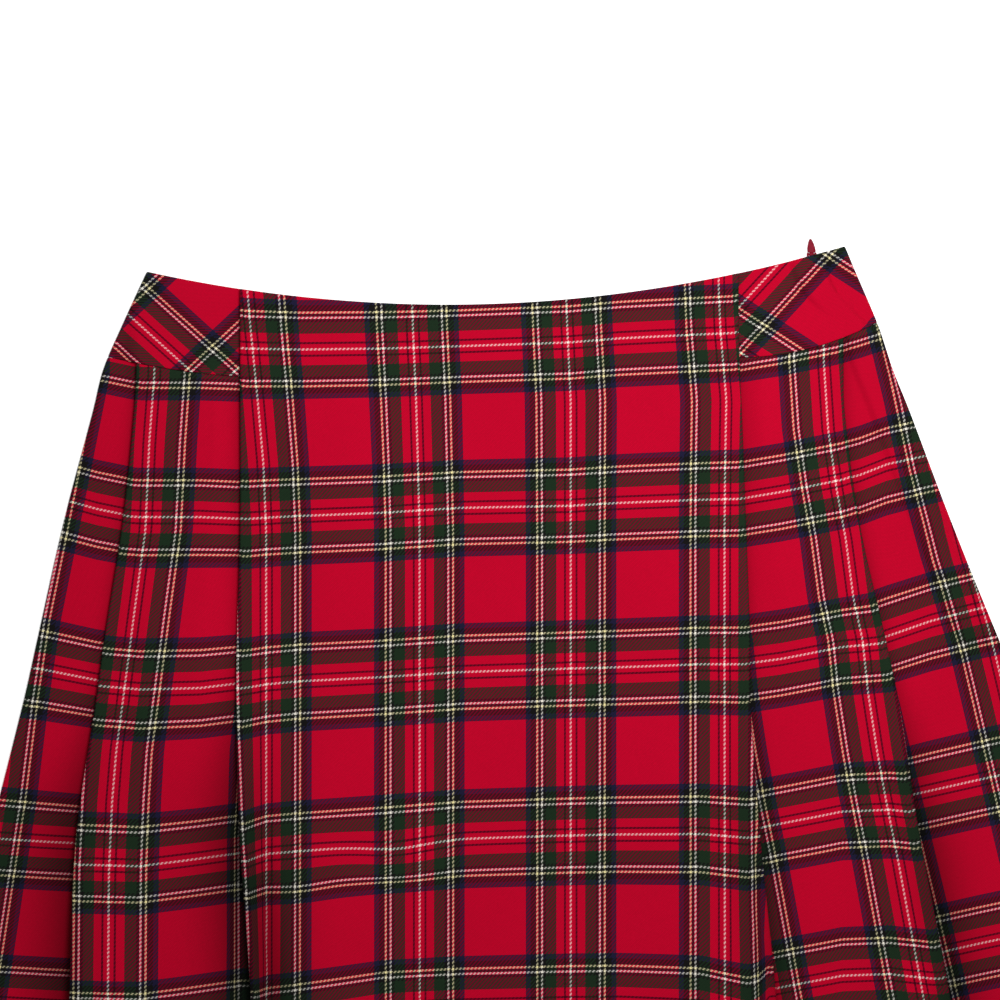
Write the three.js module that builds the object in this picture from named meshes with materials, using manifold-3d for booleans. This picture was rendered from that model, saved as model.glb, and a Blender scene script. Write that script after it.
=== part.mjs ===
import * as THREE from "three";
import { mergeVertices } from "three/addons/utils/BufferGeometryUtils.js";
import Module from "manifold-3d";

// A knee-length pleated skirt in red tartan, laid flat on its back, in millimetres.
// X runs across the skirt, Y up towards the waist and Z up through the layers of cloth.
// Places down the skirt are measured below the highest point of the waist edge.

const WALL = 1; // thickness of the cloth
const SEAM_GAP = 0.3; // clearance at every seam and between flat layers
const SEAM_CUT = 0.23; // each edge of a curved seam is cut back by this much
const OPEN_GAP = 1.7; // clearance between the layers of a pleat at the hem
const STITCHED_TO = 205; // the pleats are sewn shut down to here
const FULL_LENGTH = 610; // where the pleats have opened fully
const LOWEST_FRONT = WALL + SEAM_GAP + WALL / 2; // middle of the front's lowest layer

// One row for each section down the skirt: the two side edges, the folds of the outer and
// inner pleats on both sides, and how far the cloth of each pleat reaches in behind its fold.
const SECTION_COLUMNS = [
  "below", "sideLeft", "outerLeft", "innerLeft", "innerRight", "outerRight", "sideRight",
  "innerDepth", "outerDepth",
];
const SECTIONS = [
  [0, -162, -173, -123, 117.5, 168, 169, 46, 35],
  [12, -168, -173, -123, 117.5, 168, 174, 46, 35],
  [38, -180, -173, -123, 117.5, 168, 185, 46, 35],
  [59, -189, -173, -123, 118, 168, 192, 46, 35],
  [79, -194, -174, -123, 119, 168.5, 200, 45, 36],
  [132, -208, -179.5, -123, 121, 175.5, 220, 42.5, 38],
  [190, -221, -188.5, -124.5, 123, 188.5, 243.5, 39.5, 40],
  [219, -227.5, -192.5, -125, 123, 194.5, 256, 37.5, 41],
  [286, -244.5, -202, -123, 128, 205, 284, 34, 41],
  [364, -265.5, -205, -117.5, 135.5, 219.5, 316, 31, 40],
  [480, -296.5, -208, -114.5, 143, 235.5, 361, 28.5, 38],
  [620, -334, -211.5, -112, 151, 253.5, 414, 27, 36],
].map((row) => Object.fromEntries(SECTION_COLUMNS.map((name, i) => [name, row[i]])));

// The hem of each panel, at its two edges: across, and below.
const HEM = {
  sideLeft: { left: -326, leftBelow: 590, right: -211, rightBelow: 599.5 },
  midLeft: { left: -211, leftBelow: 610, right: -112.5, rightBelow: 607.5 },
  midRight: { left: 151, leftBelow: 591.5, right: 251, rightBelow: 583 },
  sideRight: { left: 248.5, leftBelow: 568, right: 387.5, rightBelow: 549.5 },
};
const CENTRE_HEM = { below: 597.5, tilt: -0.045, bow: 0.0004 };

const WAIST = { halfWidth: 168, leftBelow: 12, rightBelow: 0, dip: 21.5 };
const BACK_WAIST_DROP = 3; // the back waist is cut a little lower than the front
const BACK_HEM_BOW = 14; // the back's hem curves down by this much at its middle
const SIDE_TURN = { radius: 1.1, lowest: 0.35, flatFrom: 3 }; // the front turns down at each side

const FOLD_CLEAR = WALL / 2 + 1.6; // where a fold's round part ends
const RETURN_FROM = FOLD_CLEAR + 2; // where the flat cloth behind a fold begins
const FRONT_FROM = FOLD_CLEAR + 3; // and where the flat cloth in front of it begins
const CENTRE_SINK = { from: 3, to: 44 }; // the centre sinks to the back this far past its pleats
const RAMP = { past: 2.2, short: 1.2 }; // clearances at the two ends of a middle panel's slope

// The curved seam under each hip yoke, from its inner end to the side edge.
const YOKE_SEAM = {
  left: { inner: -123, innerBelow: 62.5, reach: 64.5, rise: 9.5, power: 1.6 },
  right: { inner: 118.5, innerBelow: 53.5, reach: 67, rise: 17.5, power: 2 },
};
const YOKE_UNDERLAP = 12; // how far a yoke runs in behind the centre panel's fold
const YOKE_EASE = 34; // height over which a yoke rises onto the pleats below it
const YOKE_RISE = { before: 7, after: 1 }; // it climbs between these distances from the outer fold

// The zip lies inside the side opening, at the +X side.
const ZIP = { length: 175, halfWidth: 4.3, topAcross: 152.7, inset: 10.2, turnsFrom: 8, turnsTo: 46 };
const ZIP_RIB = { halfWidth: 1.6, crest: 0.96, height: 0.6 };
// How high the front stands over the zip: its two shoulders, where the lift over the slider
// fades out, how far past the zip's end the rest does, and where it starts beside the pleat.
const ZIP_LIFT = {
  along: 2.2, atSlider: 0.5, flat: 5.8, inner: 5, outer: 2.4, sliderFrom: 18, sliderTo: 34,
  endFrom: 6, endTo: 22, pleatFrom: 0.7, pleatTo: 4.2,
};
const SLIDER = {
  width: 4.6, length: 8, thickness: 2.1, below: 6.2, shoulderShare: 0.55, tailShare: 0.6,
  earWidth: 0.9, pinRadius: 0.5, pinSink: 0.2,
};
const PULL = { pinBelow: 3.8, pinHeight: 2.4, width: 4.1, neck: 1.25, length: 7.7, thickness: 1 };
const KNUCKLE = { radius: 1.3, bore: 0.85, width: 2.1 };
const EAR = { radius: 0.95, height: 1.6 };

// How finely each stretch is divided: along a return, round a fold, and across and down a panel.
const STEPS = {
  behind: 3, arc: 5, turn: 4, centre: 22, beforeRamp: 3, ramp: 6, under: 4, side: 12, yoke: 20,
  back: 12, centreRows: 14, midRows: 13, sideRows: 14, yokeRows: 8, zipRows: 14,
};
const SIDE_CROWD = 1.4; // a side panel's rows lie closer together towards its top

const RED = 0xb8142f;
const DEEP_RED = 0x8d1228;
const ZIP_RED = 0xa51d38;
const PULL_RED = 0xc2263f;

// Interpolation between the rows of SECTIONS, smooth through every row.
function atSection(column, below) {
  const last = SECTIONS.length - 2;
  let i = SECTIONS.findIndex((row) => row.below > below) - 1;
  if (i < 0) i = below <= 0 ? 0 : last;
  i = Math.min(i, last);
  const a = SECTIONS[i];
  const b = SECTIONS[i + 1];
  const before = SECTIONS[Math.max(i - 1, 0)];
  const after = SECTIONS[Math.min(i + 2, last + 1)];
  const span = b.below - a.below;
  const t = (below - a.below) / span;
  const slopeA = ((b[column] - before[column]) / (b.below - before.below)) * span;
  const slopeB = ((after[column] - a[column]) / (after.below - a.below)) * span;
  if (t > 1) return b[column] + (slopeB / span) * (below - b.below);
  const tt = t * t;
  const ttt = tt * t;
  return (
    (2 * ttt - 3 * tt + 1) * a[column] +
    (ttt - 2 * tt + t) * slopeA +
    (3 * tt - 2 * ttt) * b[column] +
    (ttt - tt) * slopeB
  );
}

const mix = (a, b, t) => a + (b - a) * t;
const clamp = (v) => Math.min(1, Math.max(0, v));

// 0 before start, 1 after end, with a soft start and finish.
function soft(v, start, end) {
  const t = clamp((v - start) / (end - start));
  return t * t * (3 - 2 * t);
}

// Curves that cross the skirt, as places below the highest point of the waist.
function waistBelow(x) {
  const across = (x + WAIST.halfWidth) / (2 * WAIST.halfWidth);
  const chord = mix(WAIST.leftBelow, WAIST.rightBelow, across);
  return chord + WAIST.dip * (1 - (x / WAIST.halfWidth) ** 2);
}

function yokeSeamBelow(side, x) {
  const seam = YOKE_SEAM[side];
  const t = Math.max(0, Math.abs(x) - Math.abs(seam.inner)) / seam.reach;
  return seam.innerBelow - seam.rise * t ** seam.power;
}

function hemBelow(panel, x) {
  if (panel === "centre") return CENTRE_HEM.below + CENTRE_HEM.tilt * x + CENTRE_HEM.bow * x * x;
  const hem = HEM[panel];
  return mix(hem.leftBelow, hem.rightBelow, (x - hem.left) / (hem.right - hem.left));
}

// The heights of the layers. The pitch between two layers grows as the pleats open.
const pitchAt = (below) => WALL + mix(SEAM_GAP, OPEN_GAP, soft(below, STITCHED_TO, FULL_LENGTH));
const levelAt = (level, below) => LOWEST_FRONT + (level - 1) * pitchAt(below);

// The zip runs straight down from the waist, then bends out to follow the side edge.
function zipMiddle(below) {
  const besideEdge = atSection("sideRight", below) - ZIP.inset;
  return mix(ZIP.topAcross, besideEdge, soft(below, ZIP.turnsFrom, ZIP.turnsTo));
}

// How far the front stands proud over the zip.
function zipLift(x, below) {
  const away = x - zipMiddle(below);
  const shoulder = away > 0 ? ZIP_LIFT.outer : ZIP_LIFT.inner;
  const across = 1 - soft(Math.abs(away), ZIP_LIFT.flat, ZIP_LIFT.flat + shoulder);
  const along = 1 - soft(below, ZIP.length + ZIP_LIFT.endFrom, ZIP.length + ZIP_LIFT.endTo);
  const slider = ZIP_LIFT.atSlider * (1 - soft(below, ZIP_LIFT.sliderFrom, ZIP_LIFT.sliderTo));
  return across * (ZIP_LIFT.along + slider) * along;
}

// A panel of cloth between two curves that cross the skirt. section(below) gives one
// section's middle line as { x, z } points from -X to +X along its top layer. Each point
// moves half the wall both ways along the section's normal, and is then placed at its
// share of the way down between the two curves at its own x. crowd over 1 sets the
// rows closer together towards the top.
function clothPanel({ top, bottom, steps, section, crowd = 1 }) {
  const positions = [];
  const down = (x, t) => mix(top(x), bottom(x), t);
  const rows = [];
  const shares = Array.from({ length: steps + 1 }, (_, j) => (j / steps) ** crowd);
  for (const t of shares) {
    const rough = section(down(0, t));
    rows.push(rough.map((point, i) => settle(point, (x) => section(down(x, t))[i])));
  }
  const across = rows[0].length;
  for (const side of [1, -1])
    rows.forEach((row, j) =>
      row.forEach((point, i) => {
        const before = row[Math.max(i - 1, 0)];
        const after = row[Math.min(i + 1, across - 1)];
        const dx = after.x - before.x;
        const dz = after.z - before.z;
        const half = (side * WALL) / 2 / Math.hypot(dx, dz);
        const x = point.x - half * dz;
        positions.push(x, -down(x, shares[j]), point.z + half * dx);
      }),
    );
  return wallGeometry(positions, rows.length, across);
}

// Moves a point until its section is the one at its own place down the skirt.
function settle(point, pointAt) {
  let settled = point;
  for (let pass = 0; pass < 5; pass++) settled = pointAt(settled.x);
  return settled;
}

// A closed surface over two grids of points, the top face's first.
function wallGeometry(positions, down, across) {
  const faces = [];
  const bottom = down * across;
  const quad = (a, b, c, d) => faces.push(a, b, c, a, c, d);
  for (let j = 0; j + 1 < down; j++)
    for (let i = 0; i + 1 < across; i++) {
      const a = j * across + i;
      const below = a + across;
      quad(a, below, below + 1, a + 1);
      quad(bottom + a, bottom + a + 1, bottom + below + 1, bottom + below);
    }
  for (let j = 0; j + 1 < down; j++) {
    const left = j * across;
    const right = left + across - 1;
    quad(left, bottom + left, bottom + left + across, left + across);
    quad(right, right + across, bottom + right + across, bottom + right);
  }
  const lastRow = (down - 1) * across;
  for (let i = 0; i + 1 < across; i++) {
    quad(i, i + 1, bottom + i + 1, bottom + i);
    quad(lastRow + i, bottom + lastRow + i, bottom + lastRow + i + 1, lastRow + i + 1);
  }
  const geometry = new THREE.BufferGeometry();
  geometry.setAttribute("position", new THREE.Float32BufferAttribute(positions, 3));
  geometry.setIndex(faces);
  geometry.computeVertexNormals();
  return geometry;
}

// A fold on the -X side, from the middle layer round to the top layer. outside is the
// fold's outer face, and sign is -1 for a fold on the +X side.
function foldArc(outside, sign, below) {
  const radius = pitchAt(below) / 2;
  const middleX = outside + sign * (WALL / 2 + radius);
  const middleZ = levelAt(2.5, below);
  const points = [];
  for (let k = 0; k <= STEPS.arc; k++) {
    const turn = Math.PI * (k / STEPS.arc - 0.5);
    points.push({
      x: middleX - sign * radius * Math.cos(turn),
      z: middleZ + radius * Math.sin(turn),
    });
  }
  return points;
}

const spread = (from, to, steps, height) =>
  Array.from({ length: steps + 1 }, (_, k) => {
    const x = mix(from, to, k / steps);
    return { x, z: height(x) };
  });

// The centre panel, whose two edges turn under into the inner pleats.
function centrePanel() {
  const section = (below) => {
    const left = atSection("innerLeft", below);
    const right = atSection("innerRight", below);
    const depth = atSection("innerDepth", below);
    const middle = levelAt(2, below);
    const height = (x) => {
      const pastLeft = x - (left + depth);
      const pastRight = right - depth - x;
      const inLeft = soft(pastLeft, CENTRE_SINK.from, CENTRE_SINK.to);
      const inRight = soft(pastRight, CENTRE_SINK.from, CENTRE_SINK.to);
      return mix(levelAt(3, below), levelAt(1, below), Math.min(inLeft, inRight));
    };
    return [
      ...spread(left + depth, left + RETURN_FROM, STEPS.behind, () => middle),
      ...foldArc(left, 1, below),
      ...spread(left + FRONT_FROM, right - FRONT_FROM, STEPS.centre, height),
      ...foldArc(right, -1, below).reverse(),
      ...spread(right - RETURN_FROM, right - depth, STEPS.behind, () => middle),
    ];
  };
  const bottom = (x) => hemBelow("centre", x);
  return clothPanel({ top: waistBelow, bottom, steps: STEPS.centreRows, section });
}

// A middle panel: it comes out from under the centre panel, rises over the outer pleat and
// turns under at its outer edge. side is "left" or "right".
function midPanel(side) {
  const sign = side === "left" ? 1 : -1;
  const inner = side === "left" ? "innerLeft" : "innerRight";
  const outer = side === "left" ? "outerLeft" : "outerRight";
  const panel = side === "left" ? "midLeft" : "midRight";
  const section = (below) => {
    const fold = atSection(outer, below);
    const under = atSection(inner, below);
    const innerDepth = atSection("innerDepth", below);
    const depth = atSection("outerDepth", below);
    const low = levelAt(1, below);
    const behind = levelAt(2, below);
    const high = levelAt(3, below);
    const rampStart = fold + sign * (depth + RAMP.past);
    const rampEnd = under - sign * RAMP.short;
    const returnEnd = fold + sign * RETURN_FROM;
    const height = (x) => mix(high, low, soft(sign * x, sign * rampStart, sign * rampEnd));
    const points = [
      ...spread(fold + sign * depth, returnEnd, STEPS.behind, () => behind),
      ...foldArc(fold, sign, below),
      ...spread(fold + sign * FRONT_FROM, rampStart, STEPS.beforeRamp, height),
      ...spread(rampStart, rampEnd, STEPS.ramp, height).slice(1),
      ...spread(rampEnd, under + sign * innerDepth, STEPS.under, () => low).slice(1),
    ];
    return sign > 0 ? points : points.reverse();
  };
  const top = (x) => yokeSeamBelow(side, x) + SEAM_CUT;
  const bottom = (x) => hemBelow(panel, x);
  return clothPanel({ top, bottom, steps: STEPS.midRows, section });
}

// The edge where the front turns down over the edge of the back, at one side.
function sideTurn(edge, sign) {
  const { radius, lowest } = SIDE_TURN;
  const inside = edge + sign * (WALL / 2 + radius);
  const points = [{ x: edge + sign * (WALL / 2), z: lowest }];
  for (let k = 0; k <= STEPS.turn; k++) {
    const turn = (Math.PI / 2) * (k / STEPS.turn);
    points.push({
      x: inside - sign * radius * Math.cos(turn),
      z: LOWEST_FRONT - radius + radius * Math.sin(turn),
    });
  }
  return points;
}

// A side panel: flat from under the outer pleat to the side edge, where it turns down.
function sidePanel(side) {
  const sign = side === "left" ? 1 : -1;
  const edge = side === "left" ? "sideLeft" : "sideRight";
  const outer = side === "left" ? "outerLeft" : "outerRight";
  const panel = side === "left" ? "sideLeft" : "sideRight";
  const section = (below) => {
    const start = atSection(edge, below);
    const fold = atSection(outer, below);
    const depth = atSection("outerDepth", below);
    const low = levelAt(1, below);
    const pastPleat = (x) => soft(x - fold, ZIP_LIFT.pleatFrom, ZIP_LIFT.pleatTo);
    const height = (x) => low + (side === "right" ? zipLift(x, below) * pastPleat(x) : 0);
    const atPleat = fold - sign * ZIP_LIFT.pleatFrom;
    const points = [
      ...sideTurn(start, sign),
      ...spread(start + sign * SIDE_TURN.flatFrom, atPleat, STEPS.side, height),
      ...spread(atPleat, fold + sign * depth, STEPS.under, () => low).slice(1),
    ];
    return sign > 0 ? points : points.reverse();
  };
  const top = (x) => yokeSeamBelow(side, x) + SEAM_CUT;
  const bottom = (x) => hemBelow(panel, x);
  return clothPanel({ top, bottom, steps: STEPS.sideRows, section, crowd: SIDE_CROWD });
}

// A hip yoke: it lies low at the waist and rises onto the outer pleat at its lower seam.
function yoke(side) {
  const sign = side === "left" ? 1 : -1;
  const edge = side === "left" ? "sideLeft" : "sideRight";
  const outer = side === "left" ? "outerLeft" : "outerRight";
  const inner = side === "left" ? "innerLeft" : "innerRight";
  const section = (below) => {
    const start = atSection(edge, below);
    const fold = atSection(outer, below);
    const under = atSection(inner, below);
    const depth = atSection("outerDepth", below);
    const height = (x) => {
      const pastFold = sign * (x - fold);
      const rampLength = sign * (under - fold) - RAMP.short;
      const rise = soft(pastFold, -YOKE_RISE.before, YOKE_RISE.after);
      const fall = 1 - soft(pastFold, depth + RAMP.past, rampLength);
      const seam = yokeSeamBelow(side, x);
      const near = soft(below, seam - YOKE_EASE, seam - 1);
      const lift = side === "right" ? zipLift(x, below) : 0;
      const onPleat = 2 * pitchAt(below) * Math.min(rise, fall) * near;
      return LOWEST_FRONT + Math.max(onPleat, lift);
    };
    const points = [
      ...sideTurn(start, sign),
      ...spread(start + sign * SIDE_TURN.flatFrom, under + sign * YOKE_UNDERLAP, STEPS.yoke, height),
    ];
    return sign > 0 ? points : points.reverse();
  };
  const bottom = (x) => yokeSeamBelow(side, x) - SEAM_CUT;
  return clothPanel({ top: waistBelow, bottom, steps: STEPS.yokeRows, section });
}

// The back, one plain flat panel inside the turned-down side edges of the front.
function backPanel() {
  const inset = WALL + SIDE_TURN.radius;
  const section = (below) => {
    const left = atSection("sideLeft", below) + inset;
    const right = atSection("sideRight", below) - inset;
    return spread(left, right, STEPS.back, () => WALL / 2);
  };
  const hem = (x) => {
    if (x < HEM.sideLeft.right) return hemBelow("sideLeft", x);
    if (x > HEM.sideRight.left) return hemBelow("sideRight", x);
    const across = (x - HEM.sideLeft.right) / (HEM.sideRight.left - HEM.sideLeft.right);
    const straight = mix(HEM.sideLeft.rightBelow, HEM.sideRight.leftBelow, across);
    return straight + BACK_HEM_BOW * Math.sin(Math.PI * across);
  };
  const top = (x) => waistBelow(x) + BACK_WAIST_DROP;
  return clothPanel({ top, bottom: hem, steps: STEPS.back, section });
}

// The zip's two tapes, closed, with the rib of its coil along the middle.
function zipTape() {
  const top = SLIDER.below + SLIDER.length + SEAM_GAP;
  const base = WALL + SEAM_GAP;
  const rows = [];
  for (let j = 0; j <= STEPS.zipRows; j++) {
    const below = mix(top, ZIP.length, j / STEPS.zipRows);
    const middle = zipMiddle(below);
    const at = (offset, height) => new THREE.Vector3(middle + offset, -below, base + height);
    const rib = WALL + ZIP_RIB.height;
    rows.push([
      at(-ZIP.halfWidth, WALL),
      at(-ZIP_RIB.halfWidth, WALL),
      at(-ZIP_RIB.crest, rib),
      at(ZIP_RIB.crest, rib),
      at(ZIP_RIB.halfWidth, WALL),
      at(ZIP.halfWidth, WALL),
      at(ZIP.halfWidth, 0),
      at(-ZIP.halfWidth, 0),
    ]);
  }
  return loftRings(rows);
}

// A closed solid through rings of points that run anticlockwise seen from its +Y end.
function loftRings(rings) {
  const around = rings[0].length;
  const positions = rings.flat().flatMap((p) => [p.x, p.y, p.z]);
  const faces = [];
  for (let j = 0; j + 1 < rings.length; j++)
    for (let i = 0; i < around; i++) {
      const a = j * around + i;
      const b = j * around + ((i + 1) % around);
      faces.push(a, b + around, b, a, a + around, b + around);
    }
  const flat = rings[0].map((p) => new THREE.Vector2(p.x, p.z));
  const cap = THREE.ShapeUtils.triangulateShape(flat, []);
  const last = (rings.length - 1) * around;
  for (const [a, b, c] of cap) {
    faces.push(a, c, b);
    faces.push(last + a, last + b, last + c);
  }
  const geometry = new THREE.BufferGeometry();
  geometry.setAttribute("position", new THREE.Float32BufferAttribute(positions, 3));
  geometry.setIndex(faces);
  geometry.computeVertexNormals();
  return geometry;
}

const wasm = await Module();
wasm.setup();

function toSolid(geometry) {
  const bare = geometry.clone();
  for (const name of ["normal", "uv"]) bare.deleteAttribute(name);
  const merged = mergeVertices(bare, 1e-4);
  const triVerts = new Uint32Array(merged.index.array);
  return new wasm.Manifold(
    new wasm.Mesh({ numProp: 3, vertProperties: merged.attributes.position.array, triVerts }),
  );
}

function toGeometry(solid) {
  const mesh = solid.getMesh();
  const geometry = new THREE.BufferGeometry();
  geometry.setAttribute("position", new THREE.Float32BufferAttribute(mesh.vertProperties, 3));
  geometry.setIndex(new THREE.BufferAttribute(mesh.triVerts, 1));
  geometry.computeVertexNormals();
  return geometry;
}

// A cylinder along X, centred on a point.
function crossPin(radius, length, y, z, x = 0) {
  const pin = new THREE.CylinderGeometry(radius, radius, length, 16);
  pin.rotateZ(Math.PI / 2);
  return pin.translate(x, y, z);
}

// The slider: a flat body with two ears that hold the pull's cross pin.
function sliderGeometry() {
  const base = WALL + SEAM_GAP;
  const half = SLIDER.width / 2;
  const shoulder = -SLIDER.length * SLIDER.shoulderShare;
  const tail = half * SLIDER.tailShare;
  const outline = new THREE.Shape();
  outline.moveTo(-half, 0);
  outline.lineTo(-half, shoulder);
  outline.lineTo(-tail, -SLIDER.length);
  outline.lineTo(tail, -SLIDER.length);
  outline.lineTo(half, shoulder);
  outline.lineTo(half, 0);
  outline.closePath();
  const body = new THREE.ExtrudeGeometry(outline, { depth: SLIDER.thickness, bevelEnabled: false });
  body.translate(0, -SLIDER.below, base);
  let solid = toSolid(body);
  const earX = half - SLIDER.earWidth / 2;
  const reach = SLIDER.below - PULL.pinBelow;
  const root = 1; // each ear is rooted this deep in the body
  for (const x of [-earX, earX]) {
    const ear = new THREE.BoxGeometry(SLIDER.earWidth, reach + root, EAR.height);
    ear.translate(x, -SLIDER.below + (reach - root) / 2, PULL.pinHeight);
    const eye = crossPin(EAR.radius, SLIDER.earWidth, -PULL.pinBelow, PULL.pinHeight, x);
    solid = solid.add(toSolid(ear)).add(toSolid(eye));
  }
  const pinLength = SLIDER.width - 2 * SLIDER.pinSink;
  const pin = crossPin(SLIDER.pinRadius, pinLength, -PULL.pinBelow, PULL.pinHeight);
  return toGeometry(solid.add(toSolid(pin)));
}

// The pull: a leaf, broad at its base and narrow at its tip, on a knuckle that turns on the
// slider's pin.
function pullGeometry() {
  const neck = KNUCKLE.width / 2;
  const broad = PULL.width / 2;
  const outline = new THREE.Shape();
  outline.moveTo(-neck, 0);
  outline.lineTo(-neck, PULL.neck);
  outline.bezierCurveTo(-broad, PULL.neck, -broad, 2.2, -broad, 2.8);
  outline.bezierCurveTo(-broad, 5.4, -1.5, PULL.length, 0, PULL.length);
  outline.bezierCurveTo(1.5, PULL.length, broad, 5.4, broad, 2.8);
  outline.bezierCurveTo(broad, 2.2, broad, PULL.neck, neck, PULL.neck);
  outline.lineTo(neck, 0);
  outline.closePath();
  const tab = new THREE.ExtrudeGeometry(outline, {
    depth: PULL.thickness,
    bevelEnabled: false,
    curveSegments: 7,
  });
  tab.translate(0, -PULL.pinBelow, PULL.pinHeight - PULL.thickness / 2);
  const knuckle = crossPin(KNUCKLE.radius, KNUCKLE.width, -PULL.pinBelow, PULL.pinHeight);
  const bore = crossPin(KNUCKLE.bore, PULL.width, -PULL.pinBelow, PULL.pinHeight);
  return toGeometry(toSolid(tab).add(toSolid(knuckle)).subtract(toSolid(bore)));
}

const skirt = new THREE.Group();

function addPiece(name, geometry, colour, roughness, metalness = 0) {
  const material = new THREE.MeshStandardMaterial({ color: colour, roughness, metalness });
  const mesh = new THREE.Mesh(geometry, material);
  mesh.name = name;
  skirt.add(mesh);
  return mesh;
}

addPiece("back_panel", backPanel(), DEEP_RED, 0.9);
addPiece("front_centre_panel", centrePanel(), RED, 0.9);
for (const side of ["left", "right"]) {
  addPiece("front_mid_panel_" + side, midPanel(side), RED, 0.9);
  addPiece("front_side_panel_" + side, sidePanel(side), RED, 0.9);
  addPiece("hip_yoke_" + side, yoke(side), RED, 0.9);
}
addPiece("zip_tape", zipTape(), ZIP_RED, 0.8);
const slider = addPiece("zip_slider", sliderGeometry(), PULL_RED, 0.45, 0.3);
const pull = addPiece("zip_pull", pullGeometry(), PULL_RED, 0.45, 0.3);
for (const piece of [slider, pull]) piece.position.x = ZIP.topAcross;

// The origin is under the middle of the skirt, on the surface it lies on.
const box = new THREE.Box3().setFromObject(skirt);
const middle = box.getCenter(new THREE.Vector3());
skirt.position.set(-middle.x, -middle.y, -box.min.z);

export default skirt;
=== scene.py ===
# A pleated skirt in red tartan wool twill, laid flat on its back on a pale table. The packed
# model is the frame, and this script dresses it. Pattern sizes are in millimetres: x across
# the skirt from its middle, and below down from the highest point of the waist.
import math

import bpy
import numpy as np
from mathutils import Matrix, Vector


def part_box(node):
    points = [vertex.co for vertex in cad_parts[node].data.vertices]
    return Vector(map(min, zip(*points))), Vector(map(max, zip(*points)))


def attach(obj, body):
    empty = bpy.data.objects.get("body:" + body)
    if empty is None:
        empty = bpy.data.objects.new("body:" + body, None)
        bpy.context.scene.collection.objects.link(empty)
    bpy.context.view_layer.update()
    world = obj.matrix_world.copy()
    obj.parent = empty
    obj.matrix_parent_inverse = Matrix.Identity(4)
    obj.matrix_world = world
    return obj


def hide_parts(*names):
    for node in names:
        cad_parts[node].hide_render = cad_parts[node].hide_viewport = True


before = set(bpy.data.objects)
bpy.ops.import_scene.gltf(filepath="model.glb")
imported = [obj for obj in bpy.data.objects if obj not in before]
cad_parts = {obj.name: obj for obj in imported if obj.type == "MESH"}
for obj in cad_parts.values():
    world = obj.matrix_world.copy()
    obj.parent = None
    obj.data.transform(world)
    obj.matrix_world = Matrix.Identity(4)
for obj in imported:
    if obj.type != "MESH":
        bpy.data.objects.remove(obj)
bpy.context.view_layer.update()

# Back panel. One plain width of wool twill, cut a little lower than the front at the waist.
# It lies flat on the table, inside the side edges of the front, which turn down round it.
MM = 0.001
WALL = 1.0  # thickness of the cloth
SLIDER_ACROSS = 152.7  # the zip's slider stands this far to the right of the middle
SLIDER_BELOW = 2.85  # and its ears begin this far below the highest point of the waist
slider_lowest, slider_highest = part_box("zip_slider")
ORIGIN_X = (slider_lowest.x + slider_highest.x) / 2 - SLIDER_ACROSS * MM
ORIGIN_Y = slider_highest.y + SLIDER_BELOW * MM

# One row for each section down the skirt: the side edges, the folds of the outer and inner
# pleats, and how far the cloth of each pleat reaches in behind its fold.
COLUMNS = [
    "below", "side_left", "outer_left", "inner_left", "inner_right", "outer_right", "side_right",
    "inner_depth", "outer_depth",
]
SECTIONS = np.array([
    (0, -162, -173, -123, 117.5, 168, 169, 46, 35),
    (12, -168, -173, -123, 117.5, 168, 174, 46, 35),
    (38, -180, -173, -123, 117.5, 168, 185, 46, 35),
    (59, -189, -173, -123, 118, 168, 192, 46, 35),
    (79, -194, -174, -123, 119, 168.5, 200, 45, 36),
    (132, -208, -179.5, -123, 121, 175.5, 220, 42.5, 38),
    (190, -221, -188.5, -124.5, 123, 188.5, 243.5, 39.5, 40),
    (219, -227.5, -192.5, -125, 123, 194.5, 256, 37.5, 41),
    (286, -244.5, -202, -123, 128, 205, 284, 34, 41),
    (364, -265.5, -205, -117.5, 135.5, 219.5, 316, 31, 40),
    (480, -296.5, -208, -114.5, 143, 235.5, 361, 28.5, 38),
    (620, -334, -211.5, -112, 151, 253.5, 414, 27, 36),
])
WAIST_HALF = 168.0  # half the laid width of the waist
WAIST_ENDS = (12.0, 0.0)  # how far below the highest point its left and right ends lie
WAIST_DIP = 21.5  # and how far its middle sags below them
# The hem of each panel: its left edge, how far down it is there, its right edge, and there.
HEMS = {
    "side_left": (-326, 590, -211, 599.5),
    "mid_left": (-211, 610, -112.5, 607.5),
    "mid_right": (151, 591.5, 251, 583),
    "side_right": (248.5, 568, 387.5, 549.5),
}
BACK_DROP = 3.0  # the back is cut this much lower at the waist
BACK_BOW = 14.0  # its hem sags this much at the middle
BACK_INSET = 2.1  # and its sides lie this far inside the side edges
REPEAT = 73.5  # the check repeats after this much cloth across the skirt
REPEAT_DOWN = 79.0  # and after this much down it
LINE_ACROSS = -36.2  # a fine white line runs down the cloth here
LINE_BELOW = 46.5  # and one runs across it here


def mix(start, end, share):
    return start + (end - start) * share


def soft(value, start, end):
    """0 before start and 1 after end, with a soft start and finish."""
    share = np.clip((value - start) / (end - start), 0, 1)
    return share * share * (3 - 2 * share)


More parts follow.
